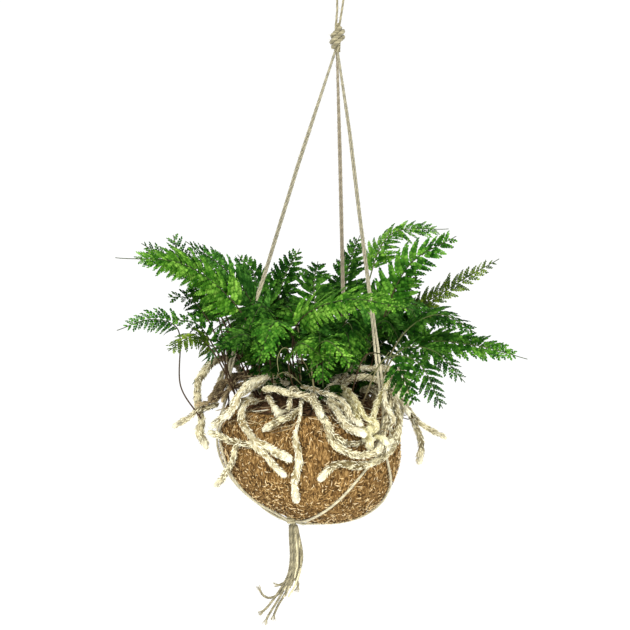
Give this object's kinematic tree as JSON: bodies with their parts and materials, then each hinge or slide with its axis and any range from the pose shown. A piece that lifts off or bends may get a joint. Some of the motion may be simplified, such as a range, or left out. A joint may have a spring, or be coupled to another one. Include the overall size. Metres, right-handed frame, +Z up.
{
  "type": "hanging fern in a coir ball",
  "caption": "Rabbit's-foot fern with furry creeping stems, growing in a round coir fibre ball that hangs in a knotted jute cord hanger with a tassel.",
  "frame": {"origin": "inside top of the hanger's loop, where a hook bears", "axes": "+Z up, +X to the right seen from the front, +Y to the back"},
  "size_m": [0.398, 0.2962, 0.6674],
  "materials": {
    "coir_fibre": "rough matted fibre",
    "potting_mix": "crumbly, matte",
    "jute_cord": "hairy twisted twine",
    "creeping_stem": "matte, furry with scales",
    "fern_frond": "satin leaf"
  },
  "bodies": {
    "root": {"coir_ball": "coir_fibre", "growing_medium": "potting_mix", "hanging_loop": "jute_cord", "top_knot": "jute_cord", "leg_left_1": "jute_cord", "leg_left_2": "jute_cord", "leg_back_1": "jute_cord", "leg_back_2": "jute_cord", "leg_right_1": "jute_cord", "leg_right_2": "jute_cord", "bottom_knot": "jute_cord", "tail_long": "jute_cord", "tail_second": "jute_cord", "tail_thin": "jute_cord", "tail_curled": "jute_cord", "tail_short": "jute_cord", "tail_loose": "jute_cord", "rhizome_old_left": "creeping_stem", "rhizome_back_right": "creeping_stem", "rhizome_back": "creeping_stem", "rhizome_back_middle": "creeping_stem", "rhizome_rim_right": "creeping_stem", "rhizome_yellow_right": "creeping_stem", "rhizome_yellow": "creeping_stem", "rhizome_slant": "creeping_stem", "rhizome_short_front": "creeping_stem", "rhizome_front": "creeping_stem", "rhizome_fork_right": "creeping_stem", "rhizome_low_left": "creeping_stem", "rhizome_fork_left": "creeping_stem", "rhizome_inner_right": "creeping_stem", "rhizome_swoop": "creeping_stem", "rhizome_drop_right": "creeping_stem", "rhizome_arch_left": "creeping_stem", "rhizome_loop_left": "creeping_stem", "rhizome_tip_left": "creeping_stem", "frond_left_long": "fern_frond", "frond_left_high": "fern_frond", "frond_back_left_high": "fern_frond", "frond_back_tip": "fern_frond", "frond_left_low": "fern_frond", "frond_left_small": "fern_frond", "frond_left_middle": "fern_frond", "frond_front_left": "fern_frond", "frond_front_short": "fern_frond", "frond_front_crossing": "fern_frond", "frond_front_middle": "fern_frond", "frond_right_top": "fern_frond", "frond_back_right_high": "fern_frond", "frond_right_high": "fern_frond", "frond_right_edge": "fern_frond", "frond_right_middle": "fern_frond", "frond_right_long": "fern_frond", "frond_right_droop": "fern_frond", "frond_front_right": "fern_frond", "frond_front_right_low": "fern_frond", "frond_middle_back": "fern_frond", "frond_back": "fern_frond", "frond_back_left": "fern_frond", "frond_back_right": "fern_frond"}
  },
  "joints": []
}
